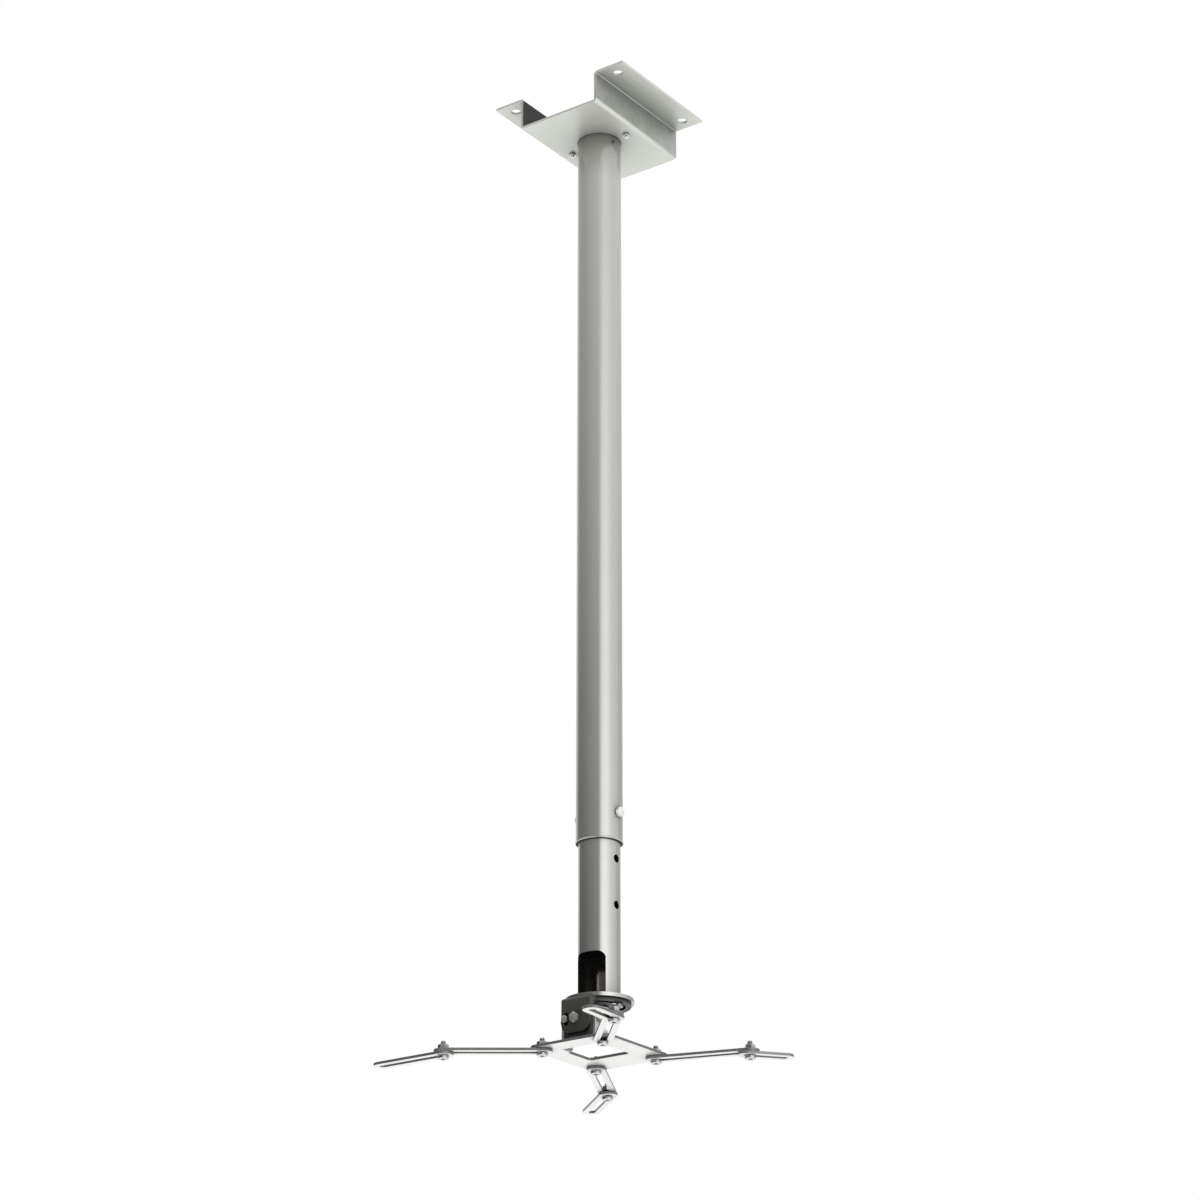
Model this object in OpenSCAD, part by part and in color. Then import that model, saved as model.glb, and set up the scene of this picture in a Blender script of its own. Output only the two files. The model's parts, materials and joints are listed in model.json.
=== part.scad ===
// Ceiling projector mount: a folded ceiling bracket, a telescopic pole, a three axis
// head and a plate with four slotted two-piece arms.
// Millimetres, +Z up. The origin is on the ceiling, midway between the four ceiling holes.
// The channel of the bracket runs along Y. Everything hangs below Z = 0.

/* [Ceiling bracket] */
// Length of the bracket along its channel
bracket_length = 161; // [120:1:200]
// Outer width of the channel across its two webs
channel_width = 107; // [80:1:140]
// Depth from the ceiling to the underside of the channel
channel_depth = 40; // [30:1:60]
// Reach of each flange beyond the web
flange_reach = 37; // [25:1:50]
// Thickness of the folded sheet
sheet = 3; // [2:0.5:4]
// Inner radius of every fold
fold_radius = 1; // [0.5:0.5:3]
// Diameter of the ceiling holes
ceiling_hole = 11; // [7:0.5:13]
// Distance between ceiling holes across the channel
ceiling_pitch_x = 146; // [126:1:154]
// Distance between ceiling holes along the channel
ceiling_pitch_y = 130; // [100:1:140]

/* [Pole] */
// Outside diameter of the outer tube
outer_od = 50; // [46:0.5:60]
// Wall of the outer tube
outer_wall = 2; // [1.5:0.25:3]
// Drop from the underside of the channel to the end of the outer tube
outer_drop = 856; // [500:5:900]
// Play between the two tubes, all round
tube_play = 0.5; // [0.3:0.1:1]
// Wall of the inner tube
inner_wall = 1.5; // [1.25:0.25:2.5]
// Length of the inner tube
inner_length = 780; // [500:5:850]
// Part of the inner tube that shows below the outer tube
inner_shown = 171; // [140:1:240]
// Distance between the height setting holes
height_pitch = 51; // [40:1:70]
// Number of height setting holes up the tube
height_holes = 11; // [6:1:12]
// Diameter of the height setting holes
height_hole = 9; // [6:0.5:10]
// Width of the cable window above the pole flange
window_width = 36; // [20:1:38]
// Height of the cable window
window_height = 48; // [30:1:60]
// Diameter of the welded flange in the channel
top_flange_d = 92; // [88:1:94]
// Thickness of the welded flange in the channel
top_flange_t = 4; // [3:0.5:6]
// Distance of each channel bolt from the axis
channel_bolt_x = 38.5; // [36:0.5:39]

/* [Head] */
// Diameter of the flange at the foot of the pole
foot_d = 73; // [66:1:80]
// Thickness of the flange at the foot of the pole
foot_t = 4; // [3:0.5:6]
// Diameter of the swivel plate
swivel_d = 67; // [60:1:72]
// Height from the underside of the spider plate to the underside of the swivel plate
head_height = 49; // [48:1:60]
// Height from the underside of the spider plate to the roll and tilt axes
axis_height = 29; // [27:0.5:31]
// Width of the front cheek
cheek_width = 36; // [32:1:38]
// Distance of the outer face of the front cheek from the pole axis
cheek_y = 42.3; // [40:0.1:44]
// Radius of the slot for the roll lock screw
roll_slot_r = 12.5; // [11:0.5:13]
// Distance of the tilt axis behind the face of the cheek
tilt_back = 13.3; // [12:0.1:15]

/* [Spider plate and arms] */
// Distance of the corner screws from each other across the spider plate
corner_pitch_x = 77; // [72:1:90]
// Distance of the corner screws from each other from front to back
corner_pitch_y = 95; // [90:1:110]
// Distance of each corner screw from the two edges beside it
corner_margin = 12; // [10:0.5:16]
// Width of the links
link_width = 20; // [16:1:24]
// Length of the four inner links
inner_link_length = 123; // [110:1:150]
// Length of the two long outer links
long_link_length = 100; // [90:1:130]
// Length of the two short outer links
short_link_length = 60; // [50:1:80]
// Thickness of the links
link_t = 3; // [2:0.5:4]
// Width of the slots in the links
slot_width = 6.8; // [6.4:0.1:8]
// Slack left in the slot of each inner link between its two screws
slot_spare = 1; // [0.5:0.5:15]
// Direction of the inner link at the near corner
near_turn = -48; // [-90:1:-20]
// Direction of the outer link at the near corner
near_fold = -87; // [-140:1:-20]
// Direction of the inner link at the right corner
right_turn = 17; // [0:1:80]
// Direction of the outer link at the right corner
right_fold = 51; // [0:1:120]
// Direction of the inner link at the far corner
far_turn = 119; // [95:1:170]
// Direction of the outer link at the far corner
far_fold = 139; // [95:1:200]
// Direction of the inner link at the left corner
left_turn = 216; // [190:1:260]
// Direction of the outer link at the left corner
left_fold = 181; // [150:1:260]

/* [Hidden] */
$fn = 64;

// Clearances
gap = 0.3;
run = 0.05;
bolt_free = 0.3;
bead = 2.5;

// Thread diameters and the fasteners that go with them
m6 = 6;
m6_across = 10;
m6_nut_h = 5;
m6_head_h = 4;
m8 = 8;
m8_across = 13;
m8_nut_h = 6.5;
m4 = 4;
m4_across = 7;
m4_nut_h = 3.2;
m4_head_h = 2.8;
m4_washer_t = 0.8;
stub = 4;

// Sizes worked out from the ones above
flange_edge = channel_width / 2 + flange_reach;
plate_under = -channel_depth;
plate_top = plate_under + sheet;
fold_outer = fold_radius + sheet;
outer_end = plate_under - outer_drop;
outer_r = outer_od / 2;
outer_bore = outer_r - outer_wall;
top_flange_z = plate_top + top_flange_t;
outer_top = top_flange_z + 3;
inner_od = 2 * outer_bore - 2 * tube_play;
inner_r = inner_od / 2;
inner_bore = inner_r - inner_wall;
foot_top = outer_end - inner_shown;
foot_under = foot_top - foot_t;
inner_top = foot_top + inner_length;
hole_drop = 20;
first_hole = outer_end - hole_drop;
lock_z = first_hole + height_pitch;
swivel_top = foot_under - gap;
swivel_under = swivel_top - sheet;
spider_under = swivel_under - head_height;
spider_top = spider_under + sheet;
axis_z = spider_under + axis_height;
cheek_in = -cheek_y + sheet;
cheek_low = spider_under + 14;
web_front = cheek_in + gap;
web_back = web_front + sheet;
tilt_y = -cheek_y + tilt_back;
knuckle_x = cheek_width / 2;
knuckle_low = spider_under + sheet + 2;
ear_in = knuckle_x + gap;
ear_out = ear_in + sheet;
ear_r = 8;
corner_x = corner_pitch_x / 2;
corner_y = corner_pitch_y / 2;
inner_link_top = spider_under - gap;
inner_link_under = inner_link_top - link_t;
outer_link_top = inner_link_under - gap;
outer_link_under = outer_link_top - link_t;
link_r = link_width / 2;
inner_slot = inner_link_length - link_width;
elbow_distance = inner_slot - slot_spare;
pan_lock_x = 24;
washer_d = 20;

// Distance of each elbow screw from the inner end of the slot in the outer link
near_inset = 1;
right_inset = 3;
far_inset = 5;
left_inset = 1;

metal = [0.62, 0.64, 0.62];
zinc = [0.8, 0.81, 0.82];
dark = [0.27, 0.27, 0.26];
silver = [0.86, 0.86, 0.85];

// A quarter ring, the section of a fold, between angles 0 and 90
module quarter(ri = fold_radius, t = sheet) {
  intersection() {
    difference() {
      circle(r = ri + t);
      circle(r = ri);
    }
    square(ri + t);
  }
}

// A bore along the given turn from Z
module bore(d, h) {
  cylinder(d = d, h = h, center = true);
}

module hex(across, h) {
  cylinder(d = across / cos(30), h = h, $fn = 6);
}

// A hexagon with the corners of its outer face turned off
module hex_head(across, h) {
  intersection() {
    hex(across, h);
    union() {
      cylinder(d = across * 1.16, h = h - 0.6);
      translate([0, 0, h - 0.6])
        cylinder(d1 = across * 1.16, d2 = across * 0.98, h = 0.6);
    }
  }
}

// A nut with both faces chamfered
module nut(across, h, d) {
  difference() {
    intersection() {
      hex(across, h);
      union() {
        cylinder(d1 = across * 0.98, d2 = across * 1.16, h = 0.6);
        translate([0, 0, 0.6])
          cylinder(d = across * 1.16, h = h - 1.2);
        translate([0, 0, h - 0.6])
          cylinder(d1 = across * 1.16, d2 = across * 0.98, h = 0.6);
      }
    }
    translate([0, 0, -1])
      cylinder(d = d, h = h + 2);
  }
}

// A shank with a chamfered end
module shank(d, h) {
  cylinder(d = d, h = h - 0.7);
  translate([0, 0, h - 0.7])
    cylinder(d1 = d, d2 = d - 1.4, h = 0.7);
}

// A round head with a hexagon socket, below Z = 0
module socket_head(d, h, key) {
  difference() {
    translate([0, 0, -h]) {
      translate([0, 0, 1.2])
        cylinder(d = d, h = h - 1.2);
      cylinder(d1 = d - 2.4, d2 = d, h = 1.2);
    }
    translate([0, 0, -h - 1])
      hex(key, 1 + h * 0.65);
  }
}

// Half of the folded section of the ceiling bracket, from the middle to the right
module bracket_half() {
  web = channel_width / 2;
  translate([0, plate_under])
    square([web - fold_outer, sheet]);
  translate([web - fold_outer, plate_under + fold_outer])
    rotate(-90)
      quarter();
  translate([web - sheet, plate_under + fold_outer])
    square([sheet, channel_depth - 2 * fold_outer]);
  translate([web + fold_radius, -fold_outer])
    rotate(90)
      quarter();
  translate([web + fold_radius, -sheet])
    square([flange_edge - web - fold_radius, sheet]);
}

module ceiling_bracket() {
  color(metal)
    difference() {
      rotate([90, 0, 0])
        linear_extrude(height = bracket_length, center = true) {
          bracket_half();
          mirror([1, 0])
            bracket_half();
        }
      for (sx = [-1, 1], sy = [-1, 1])
        translate([sx * ceiling_pitch_x / 2, sy * ceiling_pitch_y / 2, 0])
          bore(ceiling_hole, 4 * sheet);
      translate([0, 0, plate_under])
        bore(outer_od + 2 * bolt_free, 4 * sheet);
      for (sx = [-1, 1])
        translate([sx * channel_bolt_x, 0, plate_under])
          bore(m4 + 2 * bolt_free, 4 * sheet);
    }
}

module outer_tube() {
  color(metal)
    difference() {
      translate([0, 0, outer_end])
        cylinder(r = outer_r, h = outer_top - outer_end);
      translate([0, 0, outer_end - 1])
        cylinder(r = outer_bore, h = outer_top - outer_end + 2);
      translate([0, 0, lock_z])
        rotate([0, 90, 0])
          bore(m6, outer_od + 10);
    }
}

// Round flange with its weld bead around the tube
module tube_flange() {
  color(metal)
    difference() {
      translate([0, 0, plate_top])
        rotate_extrude()
          polygon([[outer_r, 0], [top_flange_d / 2, 0], [top_flange_d / 2, top_flange_t], [outer_r + bead, top_flange_t], [outer_r, top_flange_t + bead]]);
      for (sx = [-1, 1])
        translate([sx * channel_bolt_x, 0, plate_top])
          bore(m4 + 2 * bolt_free, 4 * top_flange_t);
    }
}

module flange_bolts() {
  color(zinc)
    for (sx = [-1, 1])
      translate([sx * channel_bolt_x, 0, top_flange_z + m4_washer_t]) {
        hex_head(m4_across, m4_head_h);
        rotate([180, 0, 0])
          shank(m4, m4_washer_t + top_flange_t + sheet + m4_nut_h + stub / 2);
      }
}

module flange_washers() {
  color(zinc)
    for (sx = [-1, 1])
      translate([sx * channel_bolt_x, 0, top_flange_z])
        difference() {
          cylinder(d = 9, h = m4_washer_t);
          translate([0, 0, -1])
            cylinder(d = m4, h = 4);
        }
}

module flange_nuts() {
  color(zinc)
    for (sx = [-1, 1])
      translate([sx * channel_bolt_x, 0, plate_under - m4_nut_h])
        nut(m4_across, m4_nut_h, m4);
}

// Screws through the wall of the outer tube that hold the inner tube, shown backed off
module pole_lock_screws() {
  color(zinc)
    for (turn = [0, 180])
      rotate([0, 0, turn])
        translate([inner_r + gap, 0, lock_z])
          rotate([0, 90, 0]) {
            cylinder(d = m6, h = outer_r - inner_r + 0.6);
            translate([0, 0, outer_r - inner_r - gap])
              hex_head(m6_across, m6_head_h);
          }
}

module inner_tube() {
  color(metal)
    difference() {
      translate([0, 0, foot_top])
        cylinder(r = inner_r, h = inner_length);
      translate([0, 0, foot_top - 1])
        cylinder(r = inner_bore, h = inner_length + 2);
      for (n = [0 : height_holes - 1])
        translate([0, 0, first_hole + (n - 1) * height_pitch])
          rotate([0, 90, 0])
            bore(height_hole, inner_od + 10);
      translate([0, -inner_r, foot_top])
        rotate([90, 0, 0])
          linear_extrude(height = inner_od, center = true)
            window_shape();
    }
}

// Outline of the cable window: square at its foot, rounded at the top
module window_shape(low = -1) {
  r = 7;
  translate([-window_width / 2, low])
    square([window_width, window_height - low - r]);
  translate([-window_width / 2 + r, 0])
    square([window_width - 2 * r, window_height]);
  for (sx = [-1, 1])
    translate([sx * (window_width / 2 - r), window_height - r])
      circle(r = r);
}

// Round foot of the pole with its weld bead
module pole_flange() {
  color(metal)
    difference() {
      translate([0, 0, foot_under])
        rotate_extrude()
          polygon([[0, 0], [foot_d / 2, 0], [foot_d / 2, foot_t], [inner_r + bead, foot_t], [inner_r, foot_t + bead], [inner_r, foot_t], [0, foot_t]]);
      translate([0, -inner_r, foot_top])
        rotate([90, 0, 0])
          linear_extrude(height = inner_od, center = true)
            window_shape(0);
      translate([0, 0, foot_under])
        bore(m8, 4 * foot_t);
      for (sx = [-1, 1])
        translate([sx * pan_lock_x, 0, foot_under - 1])
          cylinder(d = m6, h = foot_t + 1);
    }
}

module swivel_bolt() {
  color(zinc)
    translate([0, 0, foot_top]) {
      hex_head(m8_across, 5.3);
      rotate([180, 0, 0])
        shank(m8, foot_t + gap + sheet + gap + 1.6 + m8_nut_h + stub);
    }
}

module swivel_washer() {
  color(zinc)
    translate([0, 0, swivel_under - gap - 1.6])
      difference() {
        cylinder(d = washer_d, h = 1.6);
        translate([0, 0, -1])
          cylinder(d = m8, h = 4);
      }
}

module swivel_nut() {
  color(zinc)
    translate([0, 0, swivel_under - gap - 1.6 - m8_nut_h])
      nut(m8_across, m8_nut_h, m8);
}

// Screws up into the foot of the pole through the curved slots of the swivel plate
module swivel_lock_screws() {
  color(zinc)
    for (sx = [-1, 1])
      translate([sx * pan_lock_x, 0, swivel_under - gap]) {
        socket_head(10.5, 3.3, 4);
        cylinder(d = m6, h = foot_top - swivel_under + gap);
      }
}

// Curved slot about the axis, cut right through
module arc_slot(r, width, half_angle, h) {
  linear_extrude(height = h, center = true)
    union() {
      intersection() {
        difference() {
          circle(r = r + width / 2);
          circle(r = r - width / 2);
        }
        polygon([[0, 0], [2 * r * cos(half_angle), 2 * r * sin(half_angle)], [3 * r, 0], [2 * r * cos(half_angle), -2 * r * sin(half_angle)]]);
      }
      for (s = [-1, 1])
        rotate(s * (half_angle - 0.4))
          translate([r, 0])
            circle(d = width - 0.12);
    }
}

module swivel_plate() {
  neck_y = cheek_y - fold_outer;
  cheek_r = 10;
  color(dark)
    difference() {
      union() {
        translate([0, 0, swivel_under])
          cylinder(d = swivel_d, h = sheet);
        translate([-cheek_width / 2, -neck_y, swivel_under])
          cube([cheek_width, neck_y - 0.3 * swivel_d, sheet]);
        translate([0, -neck_y, swivel_top - fold_outer])
          rotate([0, -90, 0])
            linear_extrude(height = cheek_width, center = true)
              rotate(-90)
                quarter();
        translate([0, -cheek_y + sheet, 0])
          rotate([90, 0, 0])
            linear_extrude(height = sheet)
              cheek_shape(cheek_r);
      }
      translate([0, 0, swivel_under])
        bore(m8 + 2 * run, 4 * sheet);
      for (turn = [0, 180])
        rotate([0, 0, turn])
          translate([0, 0, swivel_under])
            arc_slot(pan_lock_x, m6 + 0.8, 58, 4 * sheet);
      translate([0, -cheek_y, axis_z])
        rotate([90, 0, 0])
          bore(m6 + 2 * run, 4 * sheet);
      translate([0, -cheek_y, axis_z])
        rotate([90, 0, 0])
          rotate([0, 0, 180])
            arc_slot(roll_slot_r, m4 + 0.8, 22, 4 * sheet);
    }
}

// Outline of the front cheek with rounded lower corners
module cheek_shape(r) {
  top = swivel_top - fold_outer;
  translate([-cheek_width / 2, cheek_low + r])
    square([cheek_width, top - cheek_low - r]);
  translate([-cheek_width / 2 + r, cheek_low])
    square([cheek_width - 2 * r, r + 1]);
  for (sx = [-1, 1])
    translate([sx * (cheek_width / 2 - r), cheek_low + r])
      circle(r = r);
}

// Roll pivot through the cheek and the web of the tilt knuckle
module roll_bolt() {
  color(zinc)
    translate([0, -cheek_y, axis_z])
      rotate([90, 0, 0]) {
        hex_head(m6_across, m6_head_h);
        rotate([180, 0, 0])
          shank(m6, 2 * sheet + 2 * gap + m6_nut_h + 2);
      }
}

module roll_nut() {
  color(zinc)
    translate([0, web_back + gap, axis_z])
      rotate([-90, 0, 0])
        nut(m6_across, m6_nut_h, m6);
}

module roll_lock_screw() {
  color(zinc)
    translate([-roll_slot_r, -cheek_y - gap, axis_z])
      rotate([90, 0, 0]) {
        hex_head(m4_across, 2.8);
        rotate([180, 0, 0])
          cylinder(d = m4, h = gap + sheet + gap + sheet);
      }
}

// Bent piece, a U seen from above, that rolls on the cheek and carries the spider plate
module tilt_knuckle() {
  top = axis_z + 12;
  arm_y = tilt_y + ear_r;
  color(dark)
    difference() {
      union() {
        translate([0, web_back, 0])
          rotate([90, 0, 0])
            linear_extrude(height = sheet)
              polygon([[-knuckle_x + fold_outer, knuckle_low], [knuckle_x - fold_outer, knuckle_low], [knuckle_x - fold_outer, top], [-knuckle_x + fold_outer, top]]);
        for (sx = [0, 1])
          mirror([sx, 0, 0]) {
            translate([knuckle_x - fold_outer, web_front + fold_outer, knuckle_low])
              linear_extrude(height = top - knuckle_low)
                rotate(-90)
                  quarter();
            translate([knuckle_x - sheet, web_front + fold_outer, knuckle_low])
              cube([sheet, tilt_y - web_front - fold_outer, top - knuckle_low]);
            translate([knuckle_x - sheet, tilt_y, knuckle_low])
              cube([sheet, 2, top - knuckle_low]);
            translate([knuckle_x - sheet, tilt_y, axis_z])
              rotate([0, 90, 0])
                cylinder(r = ear_r, h = sheet);
          }
      }
      translate([0, web_front, axis_z])
        rotate([90, 0, 0])
          bore(m6 + 2 * run, 4 * sheet);
      translate([-roll_slot_r, web_front, axis_z])
        rotate([90, 0, 0])
          bore(m4, 4 * sheet);
      translate([0, tilt_y, axis_z])
        rotate([0, 90, 0])
          bore(m6, 2 * knuckle_x + 10);
    }
}

// Screws on the tilt axis, heads outside the ears of the spider plate
module tilt_screws() {
  color(zinc)
    for (turn = [0, 1])
      mirror([turn, 0, 0])
        translate([ear_out + gap, tilt_y, axis_z])
          rotate([0, -90, 0]) {
            translate([0, 0, 0])
              socket_head(10.5, 3.3, 4);
            cylinder(d = m6, h = gap + sheet + gap + sheet + m6_nut_h + 1);
          }
}

module tilt_nuts() {
  color(zinc)
    for (turn = [0, 1])
      mirror([turn, 0, 0])
        translate([knuckle_x - sheet, tilt_y, axis_z])
          rotate([0, -90, 0])
            nut(m6_across, m6_nut_h, m6);
}

// Square plate with a screw hole in each corner and two ears bent up beside its opening
module spider_plate() {
  open_x = 25.5;
  open_front = -36;
  open_back = 19;
  open_r = 4;
  ear_front = tilt_y - ear_r;
  color(silver)
    difference() {
      union() {
        difference() {
          translate([0, 0, spider_under])
            linear_extrude(height = sheet)
              difference() {
                union() {
                  for (sx = [-1, 1], sy = [-1, 1])
                    translate([sx * corner_x, sy * corner_y])
                      circle(r = corner_margin);
                  square([corner_pitch_x + 2 * corner_margin, corner_pitch_y], center = true);
                  square([corner_pitch_x, corner_pitch_y + 2 * corner_margin], center = true);
                }
                translate([-open_x, open_front])
                  square([2 * open_x, open_back - open_front - open_r]);
                translate([-open_x + open_r, open_back - open_r - 1])
                  square([2 * (open_x - open_r), open_r + 1]);
                for (sx = [-1, 1])
                  translate([sx * (open_x - open_r), open_back - open_r])
                    circle(r = open_r);
              }
        }
        for (sx = [0, 1])
          mirror([sx, 0, 0]) {
            translate([ear_in + fold_outer, ear_front, spider_under])
              cube([open_x - ear_in - fold_outer + 1, 2 * ear_r, sheet]);
            translate([ear_in + fold_outer, ear_front + ear_r, spider_under + fold_outer])
              rotate([90, 0, 0])
                linear_extrude(height = 2 * ear_r, center = true)
                  rotate(180)
                    quarter();
            translate([ear_in, ear_front, spider_under + fold_outer])
              cube([sheet, 2 * ear_r, axis_height - fold_outer]);
            translate([ear_in, tilt_y, axis_z])
              rotate([0, 90, 0])
                cylinder(r = ear_r, h = sheet);
          }
      }
      for (sx = [-1, 1], sy = [-1, 1])
        translate([sx * corner_x, sy * corner_y, spider_under])
          bore(m6 + 2 * run, 4 * sheet);
      translate([0, tilt_y, axis_z])
        rotate([0, 90, 0])
          bore(m6 + 2 * run, 2 * ear_out + 10);
    }
}

// Slotted link with round ends; its slot starts at the origin and runs along +X
module link(length) {
  run_length = length - link_width;
  color(silver)
    linear_extrude(height = link_t)
      difference() {
        union() {
          circle(r = link_r);
          translate([run_length, 0])
            circle(r = link_r);
          translate([0, -link_r])
            square([run_length, link_width]);
        }
        circle(d = slot_width);
        translate([run_length, 0])
          circle(d = slot_width);
        translate([0, -slot_width / 2])
          square([run_length, slot_width]);
      }
}

// Places its children at a corner screw, X along the inner link
module at_corner(x, y, turn) {
  translate([x, y, 0])
    rotate([0, 0, turn])
      children();
}

module inner_link(x, y, turn) {
  at_corner(x, y, turn)
    translate([elbow_distance - inner_slot, 0, inner_link_under])
      link(inner_link_length);
}

// The elbow screw sits near the inner end of the slot in the outer link
module outer_link(x, y, turn, fold, length, inset) {
  at_corner(x, y, turn)
    translate([elbow_distance, 0, outer_link_under])
      rotate([0, 0, fold - turn])
        translate([-inset, 0, 0])
          link(length);
}

module corner_screw(x, y, turn) {
  color(zinc)
    at_corner(x, y, turn)
      translate([0, 0, inner_link_under - gap]) {
        socket_head(11.5, 3.3, 4);
        shank(m6, gap + link_t + gap + sheet + gap + m6_nut_h + stub);
      }
}

module corner_nut(x, y, turn) {
  color(zinc)
    at_corner(x, y, turn)
      translate([0, 0, spider_top + gap])
        nut(m6_across, m6_nut_h, m6);
}

module elbow_screw(x, y, turn) {
  color(zinc)
    at_corner(x, y, turn)
      translate([elbow_distance, 0, outer_link_under - gap]) {
        socket_head(11.5, 3.3, 4);
        shank(m6, gap + link_t + gap + link_t + gap + m6_nut_h + stub);
      }
}

module elbow_nut(x, y, turn) {
  color(zinc)
    at_corner(x, y, turn)
      translate([elbow_distance, 0, inner_link_top + gap])
        nut(m6_across, m6_nut_h, m6);
}

module near_corner_screw() {
  corner_screw(corner_x, -corner_y, near_turn);
}

module near_corner_nut() {
  corner_nut(corner_x, -corner_y, near_turn);
}

module near_inner_link() {
  inner_link(corner_x, -corner_y, near_turn);
}

module near_elbow_screw() {
  elbow_screw(corner_x, -corner_y, near_turn);
}

module near_elbow_nut() {
  elbow_nut(corner_x, -corner_y, near_turn);
}

module near_outer_link() {
  outer_link(corner_x, -corner_y, near_turn, near_fold, short_link_length, near_inset);
}

module right_corner_screw() {
  corner_screw(corner_x, corner_y, right_turn);
}

module right_corner_nut() {
  corner_nut(corner_x, corner_y, right_turn);
}

module right_inner_link() {
  inner_link(corner_x, corner_y, right_turn);
}

module right_elbow_screw() {
  elbow_screw(corner_x, corner_y, right_turn);
}

module right_elbow_nut() {
  elbow_nut(corner_x, corner_y, right_turn);
}

module right_outer_link() {
  outer_link(corner_x, corner_y, right_turn, right_fold, short_link_length, right_inset);
}

module far_corner_screw() {
  corner_screw(-corner_x, corner_y, far_turn);
}

module far_corner_nut() {
  corner_nut(-corner_x, corner_y, far_turn);
}

module far_inner_link() {
  inner_link(-corner_x, corner_y, far_turn);
}

module far_elbow_screw() {
  elbow_screw(-corner_x, corner_y, far_turn);
}

module far_elbow_nut() {
  elbow_nut(-corner_x, corner_y, far_turn);
}

module far_outer_link() {
  outer_link(-corner_x, corner_y, far_turn, far_fold, long_link_length, far_inset);
}

module left_corner_screw() {
  corner_screw(-corner_x, -corner_y, left_turn);
}

module left_corner_nut() {
  corner_nut(-corner_x, -corner_y, left_turn);
}

module left_inner_link() {
  inner_link(-corner_x, -corner_y, left_turn);
}

module left_elbow_screw() {
  elbow_screw(-corner_x, -corner_y, left_turn);
}

module left_elbow_nut() {
  elbow_nut(-corner_x, -corner_y, left_turn);
}

module left_outer_link() {
  outer_link(-corner_x, -corner_y, left_turn, left_fold, long_link_length, left_inset);
}

ceiling_bracket();
outer_tube();
tube_flange();
flange_bolts();
flange_washers();
flange_nuts();
pole_lock_screws();
inner_tube();
pole_flange();
swivel_bolt();
swivel_washer();
swivel_nut();
swivel_lock_screws();
swivel_plate();
roll_bolt();
roll_nut();
roll_lock_screw();
tilt_knuckle();
tilt_screws();
tilt_nuts();
spider_plate();
near_corner_screw();
near_corner_nut();
near_inner_link();
near_elbow_screw();
near_elbow_nut();
near_outer_link();
right_corner_screw();
right_corner_nut();
right_inner_link();
right_elbow_screw();
right_elbow_nut();
right_outer_link();
far_corner_screw();
far_corner_nut();
far_inner_link();
far_elbow_screw();
far_elbow_nut();
far_outer_link();
left_corner_screw();
left_corner_nut();
left_inner_link();
left_elbow_screw();
left_elbow_nut();
left_outer_link();
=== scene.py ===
import bpy
import json
import math
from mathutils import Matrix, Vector


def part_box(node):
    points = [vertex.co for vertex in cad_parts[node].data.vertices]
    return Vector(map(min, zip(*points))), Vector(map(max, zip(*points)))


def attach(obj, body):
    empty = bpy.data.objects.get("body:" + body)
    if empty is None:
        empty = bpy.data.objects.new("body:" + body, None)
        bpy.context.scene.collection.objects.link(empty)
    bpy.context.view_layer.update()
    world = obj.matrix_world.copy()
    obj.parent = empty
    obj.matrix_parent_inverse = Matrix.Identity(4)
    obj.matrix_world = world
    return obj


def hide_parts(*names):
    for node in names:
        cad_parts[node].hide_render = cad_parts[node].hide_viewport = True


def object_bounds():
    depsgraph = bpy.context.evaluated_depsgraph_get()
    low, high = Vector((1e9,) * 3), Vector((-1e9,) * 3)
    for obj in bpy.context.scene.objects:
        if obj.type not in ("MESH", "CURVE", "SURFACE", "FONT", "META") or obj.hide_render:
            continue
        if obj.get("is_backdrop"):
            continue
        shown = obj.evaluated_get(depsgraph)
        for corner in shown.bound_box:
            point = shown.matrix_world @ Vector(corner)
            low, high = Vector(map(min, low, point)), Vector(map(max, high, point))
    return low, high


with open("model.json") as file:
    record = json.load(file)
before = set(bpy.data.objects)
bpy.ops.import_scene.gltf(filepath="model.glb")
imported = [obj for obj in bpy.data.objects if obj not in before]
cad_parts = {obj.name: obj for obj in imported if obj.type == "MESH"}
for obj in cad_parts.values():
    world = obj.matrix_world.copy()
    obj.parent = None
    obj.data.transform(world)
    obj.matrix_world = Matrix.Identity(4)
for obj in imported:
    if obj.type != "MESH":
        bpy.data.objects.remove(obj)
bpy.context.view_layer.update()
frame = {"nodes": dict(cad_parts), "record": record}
nodes = frame["nodes"]
armNames = ("near", "right", "far", "left")
print("frame loaded:", len(nodes), "nodes")


def deselectAll():
    if bpy.context.object and bpy.context.object.mode != "OBJECT":
        bpy.ops.object.mode_set(mode="OBJECT")
    bpy.ops.object.select_all(action="DESELECT")


def pickOnly(piece):
    deselectAll()
    piece.select_set(True)
    bpy.context.view_layer.objects.active = piece


def applyPlace():
    bpy.ops.object.transform_apply(location=True, rotation=True, scale=True)


def newGroup(name, inputs, outputs):
    group = bpy.data.node_groups.new(name, "ShaderNodeTree")
    for label, kind, value in inputs:
        sock = group.interface.new_socket(name=label, in_out="INPUT", socket_type=kind)
        sock.default_value = value
    for label, kind in outputs:
        group.interface.new_socket(name=label, in_out="OUTPUT", socket_type=kind)
    start = group.nodes.new("NodeGroupInput")
    end = group.nodes.new("NodeGroupOutput")
    return group, start.outputs, end.inputs


def addNode(tree, kind, **values):
    node = tree.nodes.new(kind)
    for key, value in values.items():
        if hasattr(node, key):
            setattr(node, key, value)
        else:
            node.inputs[key.replace("_", " ")].default_value = value
    return node


def feed(tree, value, place):  # a socket is linked, a number or a colour is set
    if isinstance(value, bpy.types.NodeSocket):
        tree.links.new(value, place)
    else:
        place.default_value = value


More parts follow.
